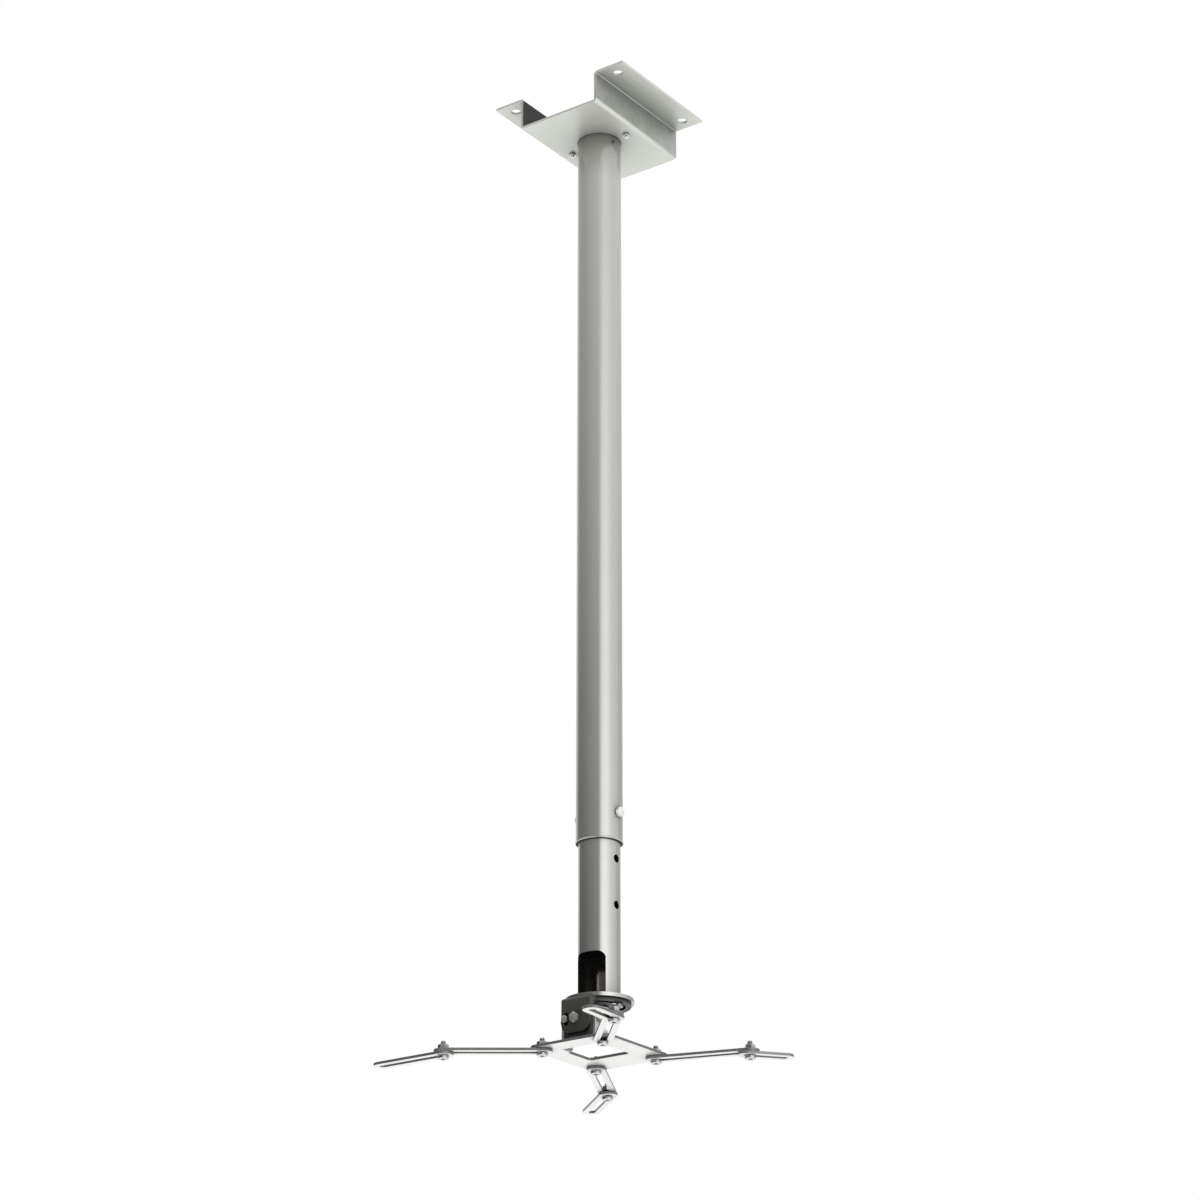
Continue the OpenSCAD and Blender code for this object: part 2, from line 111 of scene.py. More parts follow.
def calc(tree, operation, *values):
    node = addNode(tree, "ShaderNodeMath", operation=operation)
    for value, place in zip(values, node.inputs):
        feed(tree, value, place)
    return node.outputs[0]


def remap(tree, value, fromMin, fromMax, toMin, toMax):
    node = addNode(tree, "ShaderNodeMapRange", From_Min=fromMin, From_Max=fromMax, To_Min=toMin, To_Max=toMax)
    tree.links.new(value, node.inputs["Value"])
    return node.outputs["Result"]


def scaleColor(tree, color, share):
    node = addNode(tree, "ShaderNodeVectorMath", operation="SCALE")
    tree.links.new(color, node.inputs[0])
    tree.links.new(share, node.inputs["Scale"])
    return node.outputs[0]


def mixColor(tree, share, first, second):
    node = addNode(tree, "ShaderNodeMix", data_type="RGBA")
    feed(tree, share, node.inputs["Factor"])
    feed(tree, first, node.inputs[6])  # the colour inputs A and B have no name of their own
    feed(tree, second, node.inputs[7])
    return node.outputs[2]


def addTexture(tree, kind, place, facts):
    node = addNode(tree, kind, **facts)
    tree.links.new(place, node.inputs["Vector"])
    return node


cornerShade = {"samples": 8, "power": 1.5}


def paintCornerShade(tree, color, amount, reach):  # painted shade where surfaces stand close together
    near = addNode(tree, "ShaderNodeAmbientOcclusion")
    near.samples = cornerShade["samples"]
    feed(tree, reach, near.inputs["Distance"])
    free = calc(tree, "POWER", near.outputs["AO"], cornerShade["power"])
    lost = calc(tree, "SUBTRACT", free, 1.0)
    return scaleColor(tree, color, calc(tree, "MULTIPLY_ADD", lost, amount, 1.0))


skinOutputs = [("Color", "NodeSocketColor"), ("Roughness", "NodeSocketFloat"), ("Normal", "NodeSocketVector")]

# inputs of the painted skin; the heights are in metres, and the plain ones lie outside the part
paintInputs = [
    ("Color", "NodeSocketColor", (0.5, 0.5, 0.5, 1)),
    ("Grain Size", "NodeSocketFloat", 900.0),
    ("Grain Depth", "NodeSocketFloat", 0.05),
    ("Cloud", "NodeSocketFloat", 0.04),
    ("Gloss", "NodeSocketFloat", 0.35),
    ("Bore", "NodeSocketFloat", 0.0),
    ("Bore Plan", "NodeSocketVector", (1, 1, 0)),
    ("Bore Above", "NodeSocketFloat", -5.0),
    ("Bare And Shade", "NodeSocketColor", (0.2, 0.185, 0.17, 1)),
    ("Cut And Shade Low", "NodeSocketFloat", 5.0),
    ("Cut And Shade High", "NodeSocketFloat", 6.0),
    ("Cut And Shade Tone", "NodeSocketFloat", 0.3),
    ("Shade", "NodeSocketFloat", 0.6),
    ("Shade Above", "NodeSocketFloat", -5.0),
    ("Reach", "NodeSocketFloat", 0.04),
]
# noise of the painted skin, and what its smears and clouds do to roughness and tone
paintLook = {
    "grain": {"Detail": 3.0, "Roughness": 0.6},
    "cloud": {"Scale": 14.0, "Detail": 4.0, "Roughness": 0.55},
    "smear": {"Scale": 55.0, "Detail": 6.0, "Roughness": 0.7},
    "grainHeight": 0.0002,
    "cloudTone": (0.3, 0.7, -1.0, 1.0),
    "smearRough": (0.35, 0.75, -0.02, 0.03),
    "smearTone": (0.3, 0.7, 0.85, 1.15),
}


def paintSkinGroup():  # powder paint: fine grain, soft cloudiness and a little rubbed dirt, with painted shade in corners
    group, taken, given = newGroup("paintSkin", paintInputs, skinOutputs)
    link = group.links.new
    place = addNode(group, "ShaderNodeTexCoord").outputs["Object"]
    grain = addTexture(group, "ShaderNodeTexNoise", place, paintLook["grain"])
    cloud = addTexture(group, "ShaderNodeTexNoise", place, paintLook["cloud"]).outputs["Fac"]
    smear = addTexture(group, "ShaderNodeTexNoise", place, paintLook["smear"]).outputs["Fac"]
    link(taken["Grain Size"], grain.inputs["Scale"])
    bump = addNode(group, "ShaderNodeBump", Distance=paintLook["grainHeight"])
    link(taken["Grain Depth"], bump.inputs["Strength"])
    link(grain.outputs["Fac"], bump.inputs["Height"])
    clouds = remap(group, cloud, *paintLook["cloudTone"])
    tint = scaleColor(group, taken["Color"], calc(group, "MULTIPLY_ADD", clouds, taken["Cloud"], 1.0))
    rough = calc(group, "ADD", remap(group, smear, *paintLook["smearRough"]), taken["Gloss"])

    split = addNode(group, "ShaderNodeSeparateXYZ")
    link(place, split.inputs[0])
    level = split.outputs["Z"]
    # painted shade: the colour is darkened where surfaces stand close together, above Shade Above
    shadeTop = calc(group, "GREATER_THAN", level, taken["Shade Above"])
    shading = calc(group, "MULTIPLY", taken["Shade"], shadeTop)
    shaded = paintCornerShade(group, tint, shading, taken["Reach"])

    # inside the bore the colour turns dark: bare metal in the tubes, with painted shade added, and painted
    # shade alone inside the bracket's channel; the bore is a radius from the axis, or a width in one
    # direction
    flat = addNode(group, "ShaderNodeVectorMath", operation="MULTIPLY")
    link(place, flat.inputs[0])
    link(taken["Bore Plan"], flat.inputs[1])
    radius = addNode(group, "ShaderNodeVectorMath", operation="LENGTH")
    link(flat.outputs[0], radius.inputs[0])
    inside = calc(group, "LESS_THAN", radius.outputs["Value"], taken["Bore"])
    boreTop = calc(group, "GREATER_THAN", level, taken["Bore Above"])
    bored = mixColor(group, calc(group, "MULTIPLY", inside, boreTop), shaded, taken["Bare And Shade"])

    # between the two heights the colour is darker, with streaks: duller cut edges on the flat sheets, partly
    # painted shade, and painted shade on the bracket's webs
    above = calc(group, "GREATER_THAN", level, taken["Cut And Shade Low"])
    below = calc(group, "LESS_THAN", level, taken["Cut And Shade High"])
    streaks = calc(group, "MULTIPLY", remap(group, smear, *paintLook["smearTone"]), taken["Cut And Shade Tone"])
    dullShaded = scaleColor(group, bored, streaks)
    cut = mixColor(group, calc(group, "MULTIPLY", above, below), bored, dullShaded)
    link(cut, given["Color"])
    link(rough, given["Roughness"])
    link(bump.outputs["Normal"], given["Normal"])
    return group


zincInputs = [
    ("Color", "NodeSocketColor", (0.7, 0.7, 0.7, 1)),
    ("Blotch", "NodeSocketFloat", 0.12),
    ("Gloss", "NodeSocketFloat", 0.25),
    ("Shade", "NodeSocketFloat", 0.95),
]
zincLook = {
    "blotch": {"Scale": 420.0},
    "marks": {"Scale": 2600.0, "Detail": 2.0},
    "bump": {"Strength": 0.08, "Distance": 0.0001},
    "darkest": 0.92,
    "markRough": 0.15,
    "reach": 0.006,
}


def zincSkinGroup():  # zinc plating: pale blotches and fine turning marks, with painted shade in corners
    group, taken, given = newGroup("zincSkin", zincInputs, skinOutputs)
    link = group.links.new
    place = addNode(group, "ShaderNodeTexCoord").outputs["Object"]
    blotch = addTexture(group, "ShaderNodeTexVoronoi", place, zincLook["blotch"]).outputs["Distance"]
    marks = addTexture(group, "ShaderNodeTexNoise", place, zincLook["marks"]).outputs["Fac"]
    pale = remap(group, blotch, 0.0, 1.0, 1.0, 0.0)
    tone = calc(group, "MULTIPLY_ADD", pale, taken["Blotch"], zincLook["darkest"])
    tint = scaleColor(group, taken["Color"], tone)
    bump = addNode(group, "ShaderNodeBump", **zincLook["bump"])
    link(marks, bump.inputs["Height"])
    link(paintCornerShade(group, tint, taken["Shade"], zincLook["reach"]), given["Color"])
    link(calc(group, "MULTIPLY_ADD", marks, zincLook["markRough"], taken["Gloss"]), given["Roughness"])
    link(bump.outputs["Normal"], given["Normal"])
    return group


paintSkin = paintSkinGroup()
zincSkin = zincSkinGroup()

finishes = {
    "pole_paint": {"skin": paintSkin, "color": (0.596, 0.604, 0.568), "metallic": 0.92, "gloss": 0.13,
                   "grain": 1500.0, "depth": 0.01, "cloud": 0.015},
    "head_paint": {"skin": paintSkin, "color": (0.075, 0.073, 0.068), "metallic": 0.3, "gloss": 0.38,
                   "grain": 1300.0, "depth": 0.10, "cloud": 0.04},
    "arm_paint": {"skin": paintSkin, "color": (0.84, 0.84, 0.825), "metallic": 0.7, "gloss": 0.3,
                  "grain": 1500.0, "depth": 0.0, "cloud": 0.015},
    "plated_steel": {"skin": zincSkin, "color": (0.72, 0.725, 0.73), "metallic": 1.0, "gloss": 0.1},
}
# what single nodes have of their own: a bare bore, duller cut edges, deeper painted shade in corners or
# another tone; the bracket's dark channel and darker webs are painted shade, and the screws' own tones are
# painted light and shade
own = {
    "outer_tube": {"bore": 0.0235, "shade": 1.0, "reach": 0.06, "gloss": 0.17, "shadeAbove": -0.885},
    "inner_tube": {"bore": 0.0217, "color": (0.605, 0.602, 0.585)},
    "pole_flange": {"bore": 0.0217},
    "ceiling_bracket": {"metallic": 0.6, "gloss": 0.36, "color": (0.72, 0.74, 0.69),
                        "shade": 0.75, "reach": 0.12,
                        # painted shade: between these heights the bracket's webs are darkened by the tone
                        "cutLow": -0.0362, "cutHigh": -0.0036, "cutAndShadeTone": 0.72,
                        # painted shade: within this width, above the plate, the inside of the channel is
                        # painted near black
                        "bore": 0.0507, "borePlan": (1, 0, 0), "boreAbove": -0.0371,
                        "bareAndShade": (0.035, 0.037, 0.034)},
    "swivel_plate": {"shade": 1.0, "reach": 0.09},
    "tilt_knuckle": {"shade": 1.0, "reach": 0.06},
    # painted light and shade: these screws and nuts share one zinc plating, given here as lit and shaded
    # copies, darker on the swivel lock screws and paler on the rest
    "swivel_lock_screws": {"color": (0.4, 0.4, 0.41)},
    "roll_bolt": {"color": (0.8, 0.8, 0.78), "metallic": 0.8},
    "roll_lock_screw": {"color": (0.8, 0.8, 0.78), "metallic": 0.8},
    "pole_lock_screws": {"color": (0.97, 0.97, 0.96), "metallic": 0.35},
    "flange_nuts": {"color": (0.95, 0.95, 0.95)},
    "flange_bolts": {"color": (0.95, 0.95, 0.95)},
}
# flat sheets whose cut edges are duller, partly as painted shade, between these heights over their underside
cutSheets = {
    "nodes": ["spider_plate"] + [arm + link for arm in armNames for link in ("_inner_link", "_outer_link")],
    "low": 0.0001,
    "high": 0.0029,
}
for name in cutSheets["nodes"]:
    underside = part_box(name)[0][2]
    own[name] = {"cutLow": underside + cutSheets["low"], "cutHigh": underside + cutSheets["high"]}

skinInputs = {
    "color": "Color", "gloss": "Gloss", "grain": "Grain Size", "depth": "Grain Depth", "cloud": "Cloud",
    "shade": "Shade", "reach": "Reach", "shadeAbove": "Shade Above", "bore": "Bore", "borePlan": "Bore Plan",
    "boreAbove": "Bore Above", "bareAndShade": "Bare And Shade", "cutLow": "Cut And Shade Low", "cutHigh": "Cut And Shade High",
    "cutAndShadeTone": "Cut And Shade Tone",
}


def makeMaterial(name, finish):
    mat = bpy.data.materials.new(name)
    mat.use_nodes = True
    tree = mat.node_tree
    bsdf = tree.nodes["Principled BSDF"]
    skin = tree.nodes.new("ShaderNodeGroup")
    skin.node_tree = finish["skin"]
    for key, label in skinInputs.items():
        if key in finish:
            value = finish[key]
            skin.inputs[label].default_value = (*value, 1) if key in ("color", "bareAndShade") else value
    bsdf.inputs["Metallic"].default_value = finish["metallic"]
    for label, place in (("Color", "Base Color"), ("Roughness", "Roughness"), ("Normal", "Normal")):
        tree.links.new(skin.outputs[label], bsdf.inputs[place])
    return mat


# the bevel needs a welded mesh; on the round nodes it would spoil the smooth shading
softEdges = {"weld": 0.00001, "width": 0.00025, "segments": 2, "angle": 38,
             "roundNodes": ("outer_tube", "inner_tube", "pole_flange", "tube_flange")}


def soften(obj):
    whole = obj.modifiers.new("oneSkin", "WELD")
    whole.merge_threshold = softEdges["weld"]
    edge = obj.modifiers.new("softEdges", "BEVEL")
    edge.width = softEdges["width"]
    edge.segments = softEdges["segments"]
    edge.limit_method = "ANGLE"
    edge.angle_limit = math.radians(softEdges["angle"])
    edge.harden_normals = True


materials = {name: makeMaterial(name, finish) for name, finish in finishes.items()}
for part in frame["record"]["subparts"]:
    name, slot = part["node"], part["material_slot"]
    mat = materials[slot]
    if name in own:
        mat = makeMaterial(slot + "_" + name, {**finishes[slot], **own[name]})
    for place in nodes[name].material_slots:
        place.material = mat
    if name not in softEdges["roundNodes"]:
        soften(nodes[name])
print("materials given to", len(nodes), "nodes")


def joinAll(pieces, name):
    deselectAll()
    for piece in pieces:
        piece.select_set(True)
    bpy.context.view_layer.objects.active = pieces[0]
    bpy.ops.object.join()
    joined = bpy.context.object
    joined.name = name
    return joined


def copyPiece(piece, turn, place=(0, 0, 0)):
    twin = piece.copy()
    twin.data = piece.data.copy()
    bpy.context.scene.collection.objects.link(twin)
    twin.location = place
    twin.rotation_euler = turn
    return twin


def giveMaterial(piece, mat):
    piece.data.materials.clear()
    piece.data.materials.append(mat)


def selectEdges(piece, wanted):
    pickOnly(piece)
    bpy.ops.object.mode_set(mode="EDIT")
    bpy.ops.mesh.select_mode(type="EDGE")
    bpy.ops.mesh.select_all(action="DESELECT")
    bpy.ops.object.mode_set(mode="OBJECT")
    for edge in piece.data.edges:
        a, b = (piece.matrix_world @ piece.data.vertices[i].co for i in edge.vertices)
        edge.select = wanted(a, b)
    bpy.ops.object.mode_set(mode="EDIT")


def cutAway(piece, tool, operation):
    mod = piece.modifiers.new("cut", "BOOLEAN")
    mod.object = tool
    mod.operation = operation
    mod.solver = "EXACT"
    pickOnly(piece)
    bpy.ops.object.modifier_apply(modifier="cut")
    bpy.data.objects.remove(tool)


sameHeight = 1e-6


def makeRod(radius, low, high, rim, sides, rimLow=False):  # upright rod with one bevelled end
    deselectAll()
    bpy.ops.mesh.primitive_cylinder_add(vertices=sides, radius=radius, depth=high - low,
                                        location=(0, 0, (low + high) / 2))
    rod = bpy.context.object
    applyPlace()
    end = low if rimLow else high
    selectEdges(rod, lambda a, b: abs(a.z - end) < sameHeight and abs(b.z - end) < sameHeight)
    bpy.ops.mesh.bevel(offset=rim, segments=2)
    bpy.ops.object.mode_set(mode="OBJECT")
    return rod


def makeHexPrism(across, depth, z):
    deselectAll()
    bpy.ops.mesh.primitive_cylinder_add(vertices=6, radius=across / math.sqrt(3), depth=depth,
                                        location=(0, 0, z))
    return bpy.context.object


# screws by kind, in metres; key is across the flats of the socket
screwKinds = {
    "arm": {"head": "socket", "across": 0.0115, "height": 0.0033, "key": 0.004, "rod": 0.003, "pitch": 0.001},
    "head": {"head": "socket", "across": 0.0105, "height": 0.0033, "key": 0.004, "rod": 0.003,
             "pitch": 0.001},
    "m4": {"head": "hex", "across": 0.007, "height": 0.0028, "rod": 0.002, "pitch": 0.0007},
    "m6": {"head": "hex", "across": 0.01, "height": 0.004, "rod": 0.003, "pitch": 0.001},
    "m8": {"head": "hex", "across": 0.013, "height": 0.0053, "rod": 0.004, "pitch": 0.00125},
}
# how every screw is made; the shares are of the pitch, and hexRim is a share of the head's height
screwForm = {
    "socketDepth": 0.0022, "socketRim": 0.0005, "socketSides": 48,
    "hexRim": 0.14, "hexSides": 64,
    "rootShare": 0.55, "tipShare": 0.5, "rodSides": 32,
    "ridgeShare": 0.57, "turnSteps": 24,
    "smoothAngle": 35,
}


def makeThread(radius, pitch, low, high):  # a small triangle wound up the rod
    ridge = pitch * screwForm["ridgeShare"]
    deselectAll()
    bpy.ops.mesh.primitive_circle_add(vertices=3, radius=ridge, location=(radius - ridge, 0, low + pitch / 2),
                                      rotation=(math.pi / 2, math.pi / 2, 0))
    thread = bpy.context.object
    applyPlace()
    turn = thread.modifiers.new("turn", "SCREW")
    turn.axis = "Z"
    turn.screw_offset = pitch
    turn.iterations = max(1, int((high - low) / pitch) - 1)
    turn.steps = turn.render_steps = screwForm["turnSteps"]
    bpy.ops.object.modifier_apply(modifier="turn")
    bpy.ops.object.mode_set(mode="EDIT")
    bpy.ops.mesh.select_mode(type="VERT")
    bpy.ops.mesh.select_all(action="DESELECT")
    bpy.ops.mesh.select_non_manifold()
    bpy.ops.mesh.fill_holes(sides=3)
    bpy.ops.mesh.select_all(action="SELECT")
    bpy.ops.mesh.normals_make_consistent(inside=False)
    bpy.ops.object.mode_set(mode="OBJECT")
    return thread


def makeScrew(kind, length):  # stands on its head at z 0, rod upwards
    facts = screwKinds[kind]
    height, across, pitch = facts["height"], facts["across"], facts["pitch"]
    if facts["head"] == "socket":
        head = makeRod(across / 2, 0, height, screwForm["socketRim"], screwForm["socketSides"], rimLow=True)
        cutAway(head, makeHexPrism(facts["key"], 2 * screwForm["socketDepth"], 0), "DIFFERENCE")
    else:
        rim = height * screwForm["hexRim"]
        head = makeRod(across / math.sqrt(3), 0, height, rim, screwForm["hexSides"], rimLow=True)
        cutAway(head, makeHexPrism(across, height * 3, height), "INTERSECT")
    root = facts["rod"] - pitch * screwForm["rootShare"]
    rod = makeRod(root, height / 2, length, pitch * screwForm["tipShare"], screwForm["rodSides"])
    thread = makeThread(facts["rod"], pitch, height, length)
    screw = joinAll([head, rod, thread], kind + "Screw")
    bpy.ops.object.shade_smooth_by_angle(angle=math.radians(screwForm["smoothAngle"]))
    giveMaterial(screw, materials["plated_steel"])
    return screw


bodyOf = {node: body for body, names in frame["record"]["behaviour"]["bodies"].items() for node in names}
# the way a screw points from its head: how it is turned, and the axis that it lies along
ways = {
    "up": {"turn": (0, 0, 0), "axis": 2},
    "down": {"turn": (math.pi, 0, 0), "axis": 2},
    "back": {"turn": (-math.pi / 2, 0, 0), "axis": 1},
    "right": {"turn": (0, math.pi / 2, 0), "axis": 0},
    "left": {"turn": (0, -math.pi / 2, 0), "axis": 0},
}


def dressScrews(node, kind, places, length=None):  # a threaded screw at each place: head's face and way
    low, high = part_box(node)
    if length is None:
        axis = ways[places[0][1]]["axis"]
        length = high[axis] - low[axis]
    first = makeScrew(kind, length)
    pieces = [copyPiece(first, ways[way]["turn"], point) for point, way in places]
    bpy.data.objects.remove(first)
    screw = joinAll(pieces, node + "Threaded")
    applyPlace()
    for place, worn in zip(screw.material_slots, nodes[node].material_slots):
        place.material = worn.material
    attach(screw, bodyOf[node])
    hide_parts(node)


def boxAndMiddle(node):
    low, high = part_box(node)
    return low, high, [(a + b) / 2 for a, b in zip(low, high)]


# places of the flange bolts, and the screws that end inside the part
screwPlaces = {"flangeBoltX": 0.0385, "tiltLength": 0.0159, "poleLockLength": 0.0061}
for arm in armNames:
    for end in ("_corner_screw", "_elbow_screw"):
        low, high, mid = boxAndMiddle(arm + end)
        dressScrews(arm + end, "arm", [((mid[0], mid[1], low[2]), "up")])
low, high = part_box("flange_bolts")
dressScrews("flange_bolts", "m4", [((screwPlaces["flangeBoltX"], 0, high[2]), "down"),
                                   ((-screwPlaces["flangeBoltX"], 0, high[2]), "down")])
low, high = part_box("swivel_bolt")
dressScrews("swivel_bolt", "m8", [((0, 0, high[2]), "down")])
low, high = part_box("swivel_lock_screws")
headRadius = screwKinds["head"]["across"] / 2
dressScrews("swivel_lock_screws", "head", [((high[0] - headRadius, 0, low[2]), "up"),
                                           ((low[0] + headRadius, 0, low[2]), "up")])
low, high, mid = boxAndMiddle("roll_bolt")
dressScrews("roll_bolt", "m6", [((0, low[1], mid[2]), "back")])
low, high, mid = boxAndMiddle("roll_lock_screw")
dressScrews("roll_lock_screw", "m4", [((mid[0], low[1], mid[2]), "back")])
low, high, mid = boxAndMiddle("tilt_screws")
dressScrews("tilt_screws", "head", [((high[0], mid[1], mid[2]), "left"), ((low[0], mid[1], mid[2]), "right")],
            screwPlaces["tiltLength"])
low, high, mid = boxAndMiddle("pole_lock_screws")
dressScrews("pole_lock_screws", "m6", [((high[0], mid[1], mid[2]), "left"),
                                       ((low[0], mid[1], mid[2]), "right")],
            screwPlaces["poleLockLength"])
print("threaded screws made")

plainBead = 0.0025  # height of the plain bead that the CAD flange has under the scales
# weld beads, in metres; gapHalf leaves the front open where the cable window is
weld = {
    "dropRadius": 0.0015, "outward": 0.0009, "upward": 0.0008, "sink": 0.0002,
    "segments": 14, "rings": 9, "stretch": 1.25, "lean": 18, "count": 56, "smoothAngle": 50,
    "beads": {
        "topWeldScales": {"body": "ceiling", "radius": 0.025, "gapHalf": 0,
                          "z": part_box("tube_flange")[1][2] - plainBead},
        "footWeldScales": {"body": "pole", "radius": 0.0225, "gapHalf": 0.0195,
                           "z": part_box("swivel_bolt")[1][2] - screwKinds["m8"]["height"]},
    },
}


def makeWeld(name, body, radius, z, gapHalf):  # one drop of weld, laid round the tube as overlapping scales
    deselectAll()
    bpy.ops.mesh.primitive_uv_sphere_add(segments=weld["segments"], ring_count=weld["rings"],
                                         radius=weld["dropRadius"],
                                         location=(radius + weld["outward"], 0, z + weld["upward"]))
    drop = bpy.context.object
    applyPlace()
    bpy.ops.object.mode_set(mode="EDIT")
    bpy.ops.mesh.select_all(action="SELECT")
    bpy.ops.transform.resize(value=(1.0, weld["stretch"], 1.0), center_override=(radius, 0, z))
    bpy.ops.transform.rotate(value=math.radians(weld["lean"]), orient_axis="X",
                             center_override=(radius, 0, z))
    bpy.ops.mesh.select_all(action="SELECT")
    bpy.ops.mesh.bisect(plane_co=(0, 0, z - weld["sink"]), plane_no=(0, 0, 1), clear_inner=True,
                        use_fill=True)
    bpy.ops.object.mode_set(mode="OBJECT")
    drops = []
    for i in range(weld["count"]):
        turn = 2 * math.pi * i / weld["count"]
        inFront = math.sin(turn) < 0
        if not (inFront and abs(radius * math.cos(turn)) < gapHalf):
            drops.append(copyPiece(drop, (0, 0, turn)))
    bpy.data.objects.remove(drop)
    bead = joinAll(drops, name)
    applyPlace()
    bpy.ops.object.shade_smooth_by_angle(angle=math.radians(weld["smoothAngle"]))
    giveMaterial(bead, materials["pole_paint"])
    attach(bead, body)


for name, facts in weld["beads"].items():
    makeWeld(name, **facts)
print("weld beads made")

# height in metres; rings and spans are shares of it; bulge and inward scale the edges they move
lipForm = {"height": 0.002, "sides": 96, "rings": (0.3, 0.65), "ringSpan": (0.2, 0.8), "endSpan": 0.1,
           "bulge": 1.03, "inward": 0.935, "smoothAngle": 30}


def makeEndLip():  # rolled lip round the lower end of the outer tube
    low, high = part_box("outer_tube")
    end, height = low[2], lipForm["height"]
    deselectAll()
    bpy.ops.mesh.primitive_cylinder_add(vertices=lipForm["sides"], radius=(high[0] - low[0]) / 2,
                                        depth=height, end_fill_type="NOTHING",
                                        location=(0, 0, end + height / 2))
    lip = bpy.context.object
    lip.name = "outerTubeLip"
    applyPlace()
    bpy.ops.object.mode_set(mode="EDIT")
    for share in lipForm["rings"]:
        bpy.ops.mesh.select_all(action="SELECT")
        bpy.ops.mesh.bisect(plane_co=(0, 0, end + height * share), plane_no=(0, 0, 1))
    bpy.ops.object.mode_set(mode="OBJECT")
    ringsLow, ringsHigh = (end + height * share for share in lipForm["ringSpan"])
    selectEdges(lip, lambda a, b: ringsLow < min(a.z, b.z) and max(a.z, b.z) < ringsHigh)
    bpy.ops.transform.resize(value=(lipForm["bulge"], lipForm["bulge"], 1), center_override=(0, 0, end))
    bpy.ops.object.mode_set(mode="OBJECT")
    selectEdges(lip, lambda a, b: max(a.z, b.z) < end + height * lipForm["endSpan"])
    bpy.ops.mesh.extrude_edges_move()
    bpy.ops.transform.resize(value=(lipForm["inward"], lipForm["inward"], 1), center_override=(0, 0, end))
    bpy.ops.object.mode_set(mode="OBJECT")
    bpy.ops.object.shade_smooth_by_angle(angle=math.radians(lipForm["smoothAngle"]))
    giveMaterial(lip, makeMaterial("lip_paint", {**finishes["pole_paint"], "shade": 0.0}))
    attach(lip, "ceiling")


makeEndLip()
print("tube lip made")

floorLook = {"z": -3.2, "size": 40.0, "color": (0.9, 0.9, 0.89), "glow": 0.5, "rough": 0.8}


def makeFloor():  # white for camera, glossy and transmission rays, pale for all others
    deselectAll()
    bpy.ops.mesh.primitive_plane_add(size=floorLook["size"], location=(0, 0, floorLook["z"]))
    floor = bpy.context.object
    floor.name = "paleFloor"
    mat = bpy.data.materials.new("paleFloor")
    mat.use_nodes = True
    tree = mat.node_tree
    link = tree.links.new
    bsdf = tree.nodes["Principled BSDF"]
    bsdf.inputs["Base Color"].default_value = (*floorLook["color"], 1)
    bsdf.inputs["Roughness"].default_value = floorLook["rough"]
    bsdf.inputs["Emission Color"].default_value = (1, 1, 1, 1)
    bsdf.inputs["Emission Strength"].default_value = floorLook["glow"]
    path = tree.nodes.new("ShaderNodeLightPath").outputs
    seen = calc(tree, "MAXIMUM", path["Is Camera Ray"], path["Is Glossy Ray"])
    white = addNode(tree, "ShaderNodeEmission", Color=(1, 1, 1, 1), Strength=1.0)
    mix = tree.nodes.new("ShaderNodeMixShader")
    link(calc(tree, "MAXIMUM", seen, path["Is Transmission Ray"]), mix.inputs[0])
    link(bsdf.outputs[0], mix.inputs[1])
    link(white.outputs[0], mix.inputs[2])
    link(mix.outputs[0], tree.nodes["Material Output"].inputs["Surface"])
    floor.data.materials.append(mat)
    floor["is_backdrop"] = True


makeFloor()

# angles in degrees, the rest in metres apart from the lens and the sensor, in mm
camera = {"azimuth": 35.82, "elevation": -22.43, "distance": 3.5, "target": (0.00085, 0.0, -0.61509),
          "lens": 95.72, "sensor": 36, "nearest": 0.05, "farthest": 100}


def makeCamera():
    a, e = math.radians(camera["azimuth"]), math.radians(camera["elevation"])
    back = Vector((math.sin(a) * math.cos(e), -math.cos(a) * math.cos(e), math.sin(e)))
    data = bpy.data.cameras.new("photoCamera")
    cam = bpy.data.objects.new("photoCamera", data)
    bpy.context.scene.collection.objects.link(cam)
    data.sensor_width = camera["sensor"]
    data.lens = camera["lens"]
    data.clip_start, data.clip_end = camera["nearest"], camera["farthest"]
    cam.location = Vector(camera["target"]) + back * camera["distance"]
    cam.rotation_mode = "QUATERNION"
    cam.rotation_quaternion = (-back).to_track_quat("-Z", "Y")
    bpy.context.scene.camera = cam


makeCamera()

# brightness of the studio by compass direction in degrees, at a low and at a high elevation;
# lowZ, highZ, topLow and topHigh are the upward parts of a direction, where one passes to the next
studio = {
    "low": {-180: 0.5, -130: 0.52, -108: 0.58, -100: 0.4, -94: 0.06, -78: 0.03, -47: 0.04, -22: 0.08,
            0: 0.11, 20: 0.15, 32: 0.18, 38: 0.4, 44: 0.95, 54: 1.2, 66: 1.3, 78: 1.22, 93: 0.92,
            106: 0.78, 131: 0.62, 150: 0.4, 170: 0.35},
    "high": {-180: 0.6, -130: 0.65, -108: 0.6, -97: 0.45, -47: 0.45, -11: 0.54, 30: 0.62, 60: 0.76,
             82: 0.74, 106: 0.7, 131: 0.72, 148: 0.74, 165: 0.7},
    "zenith": 0.7, "lowZ": 0.24, "highZ": 0.51, "topLow": 0.62, "topHigh": 0.95,
    "fullScale": 1.5, "strength": 1.8,
}


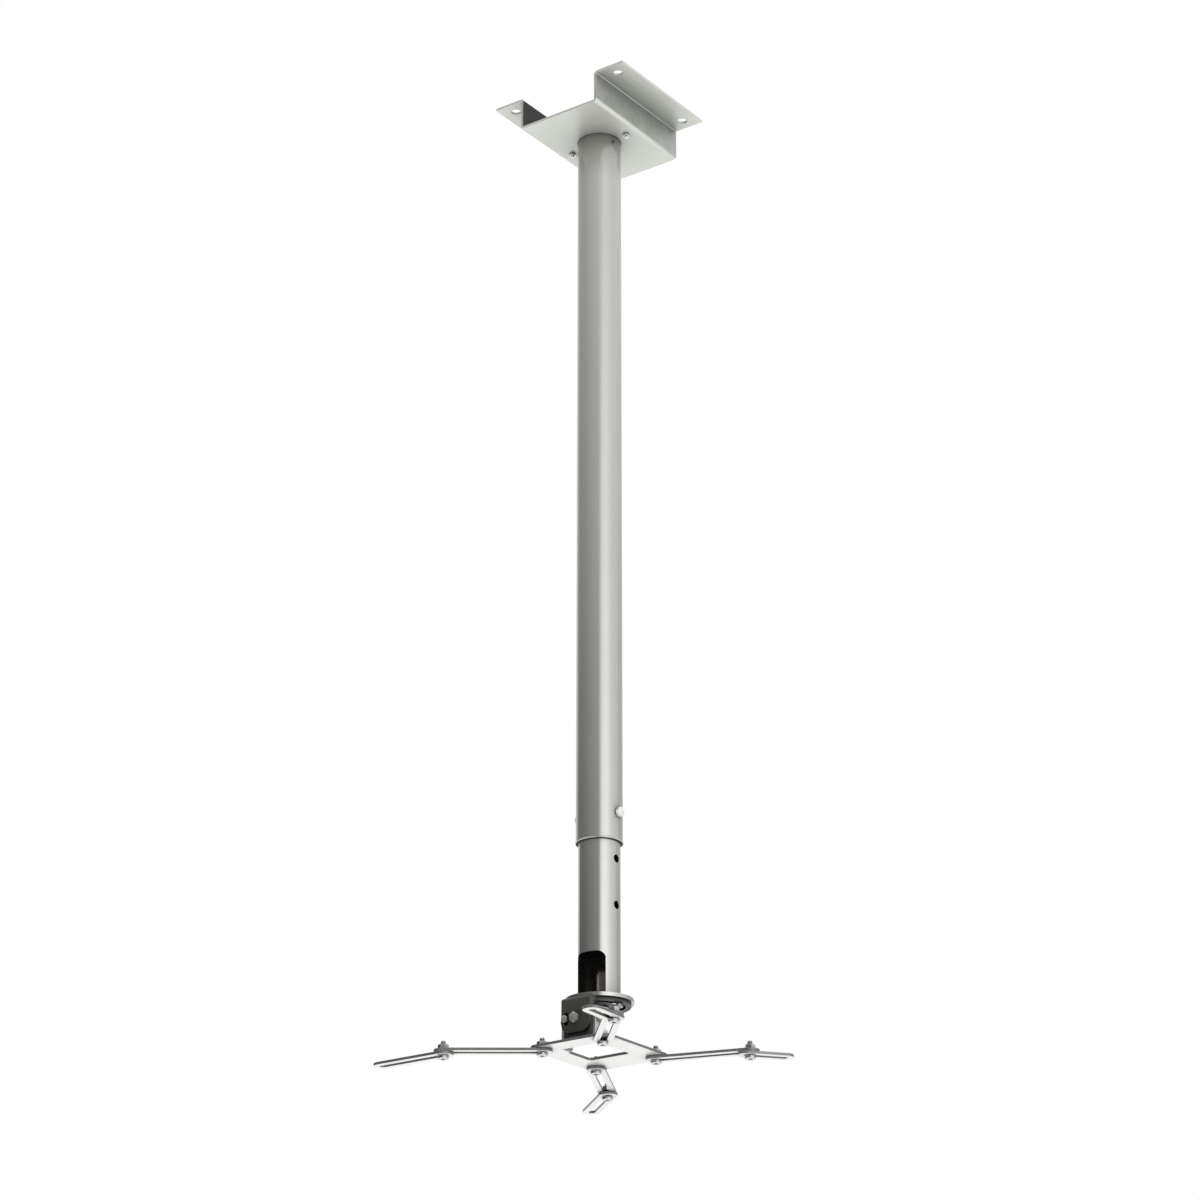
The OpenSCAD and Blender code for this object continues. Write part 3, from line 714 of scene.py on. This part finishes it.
def greyOf(brightness):
    value = brightness / studio["fullScale"]
    return (value, value, value, 1)


def compassRamp(tree, stops, source):
    ramp = tree.nodes.new("ShaderNodeValToRGB")
    ramp.color_ramp.interpolation = "LINEAR"
    keys = sorted(stops)
    points = ramp.color_ramp.elements
    while len(points) < len(keys):
        points.new(0.5)
    for point, key in zip(points, keys):
        point.position = (key + 180) / 360
        point.color = greyOf(stops[key])
    tree.links.new(source, ramp.inputs["Fac"])
    return ramp.outputs["Color"]


def makeWorld():  # white for the camera; for the object a soft studio with one bright and one dark side
    world = bpy.data.worlds.new("studio")
    bpy.context.scene.world = world
    world.use_nodes = True
    tree = world.node_tree
    tree.nodes.clear()
    link = tree.links.new
    split = tree.nodes.new("ShaderNodeSeparateXYZ")
    link(tree.nodes.new("ShaderNodeTexCoord").outputs["Generated"], split.inputs[0])
    turn = calc(tree, "ARCTAN2", split.outputs["X"], calc(tree, "MULTIPLY", split.outputs["Y"], -1.0))
    compass = remap(tree, turn, -math.pi, math.pi, 0.0, 1.0)
    low = compassRamp(tree, studio["low"], compass)
    high = compassRamp(tree, studio["high"], compass)
    rise = remap(tree, split.outputs["Z"], studio["lowZ"], studio["highZ"], 0.0, 1.0)
    top = remap(tree, split.outputs["Z"], studio["topLow"], studio["topHigh"], 0.0, 1.0)
    dome = mixColor(tree, top, mixColor(tree, rise, low, high), greyOf(studio["zenith"]))
    room = addNode(tree, "ShaderNodeBackground", Strength=studio["strength"])
    link(dome, room.inputs["Color"])
    white = addNode(tree, "ShaderNodeBackground", Color=(1, 1, 1, 1), Strength=1.0)
    mix = tree.nodes.new("ShaderNodeMixShader")
    link(tree.nodes.new("ShaderNodeLightPath").outputs["Is Camera Ray"], mix.inputs[0])
    link(room.outputs[0], mix.inputs[1])
    link(white.outputs[0], mix.inputs[2])
    link(mix.outputs[0], tree.nodes.new("ShaderNodeOutputWorld").inputs["Surface"])


makeWorld()
bpy.context.scene.view_settings.view_transform = "Standard"
print("stage ready")

low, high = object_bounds()
